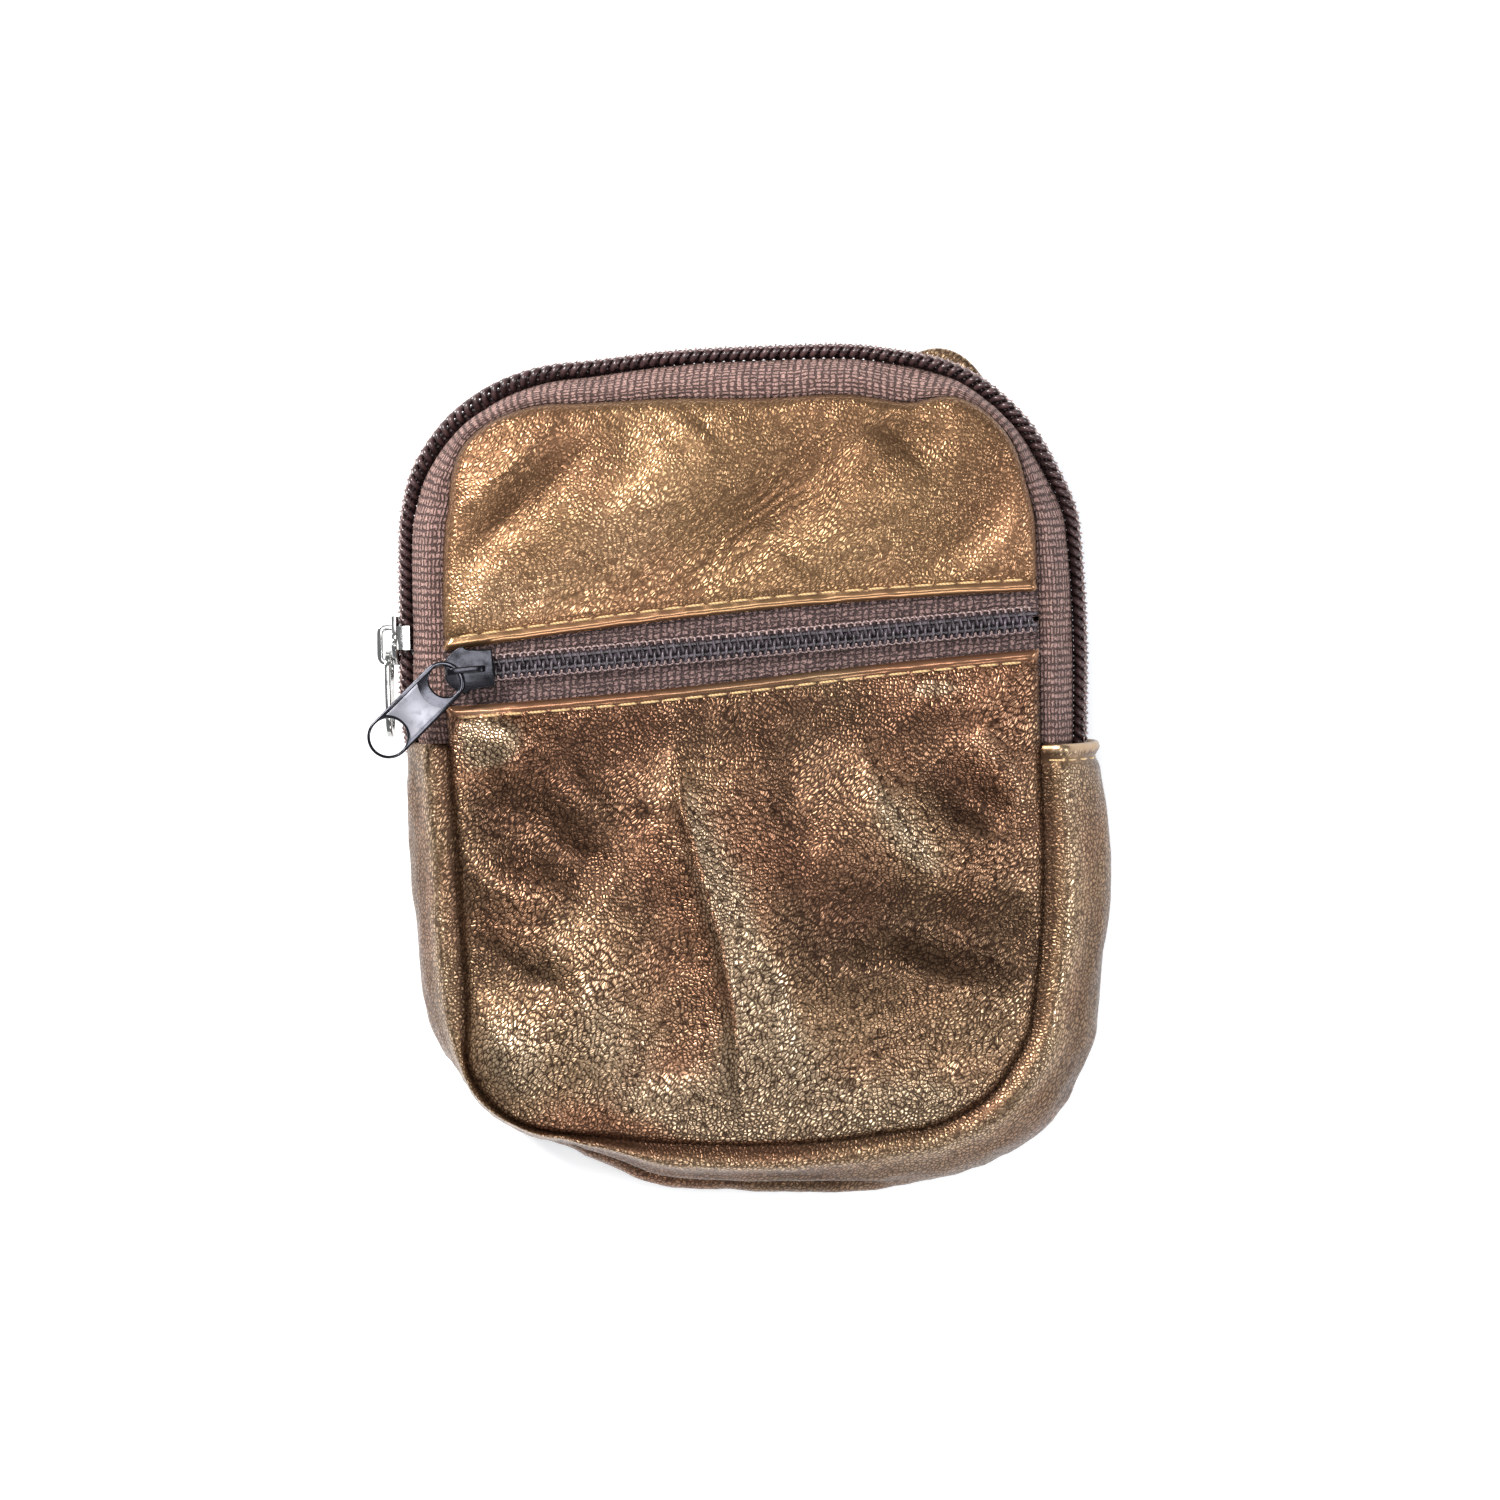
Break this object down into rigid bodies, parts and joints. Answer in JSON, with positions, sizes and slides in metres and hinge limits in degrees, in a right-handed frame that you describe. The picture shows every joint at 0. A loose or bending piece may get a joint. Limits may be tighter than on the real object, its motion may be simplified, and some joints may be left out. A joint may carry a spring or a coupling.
{
  "type": "zippered pouch",
  "caption": "Small soft leather pouch with a zip round its top edge, a slanted zipped pocket across its front and a bowed leather side wall",
  "frame": {"origin": "middle of the back panel's outer face, which the pouch lies on", "axes": "+Z out through the front panel, +Y towards the top run of the main zip, +X to the right seen from the front"},
  "size_m": [0.1165, 0.1361, 0.0265],
  "materials": {
    "leather": "metallic bronze foil over a fine pebble grain, semi-gloss",
    "lining": "plain dark woven lining",
    "main_tape": "mauve-brown woven tape, matt",
    "pocket_tape": "dark plum woven tape, matt",
    "coil": "dark plum-brown nylon coil, glossy",
    "thread": "gold-tan sewing thread",
    "nickel": "bright nickel plate",
    "gunmetal": "dark gunmetal enamel, semi-gloss",
    "pocket_pull": "satin grey faces with polished black edges"
  },
  "bodies": {
    "pouch": {"back_panel": "leather", "front_upper_panel": "leather", "front_lower_panel": "leather", "gusset": "leather", "back_lining": "lining", "gusset_lining": "lining", "pocket_lining": "lining", "main_tape_front": "main_tape", "main_tape_back": "main_tape", "pocket_tape_upper": "pocket_tape", "pocket_tape_lower": "pocket_tape", "main_coil_front": "coil", "main_coil_back": "coil", "pocket_coil_upper": "coil", "pocket_coil_lower": "coil", "pocket_stitch_upper": "thread", "pocket_stitch_lower": "thread", "hem_stitch_left": "thread", "hem_stitch_right": "thread"},
    "main_slider": {"main_slider_body": "nickel", "main_slider_bridge": "nickel"},
    "main_pull": {"main_pull": "nickel"},
    "pocket_slider": {"pocket_slider_body": "gunmetal", "pocket_slider_bridge": "gunmetal"},
    "pocket_pull": {"pocket_pull": "pocket_pull"}
  },
  "joints": [
    {"name": "main_slider_run", "type": "slide", "parent": "pouch", "child": "main_slider", "axis": [-0.024, 0.9997, 0], "range_m": [-0.0105, 0.0145]},
    {"name": "main_pull_swing", "type": "hinge", "parent": "main_slider", "child": "main_pull", "pos_m": [-0.05865, 0.01852, 0.01033], "axis": [0.098, 0.0024, -0.9952], "range_deg": [0, 120]},
    {"name": "pocket_slider_run", "type": "slide", "parent": "pouch", "child": "pocket_slider", "axis": [0.9959, 0.09, 0], "range_m": [0, 0.083]},
    {"name": "pocket_pull_lift", "type": "hinge", "parent": "pocket_slider", "child": "pocket_pull", "pos_m": [-0.04726, 0.01547, 0.02405], "axis": [-0.7071, 0.7071, 0], "range_deg": [0, 120]}
  ]
}
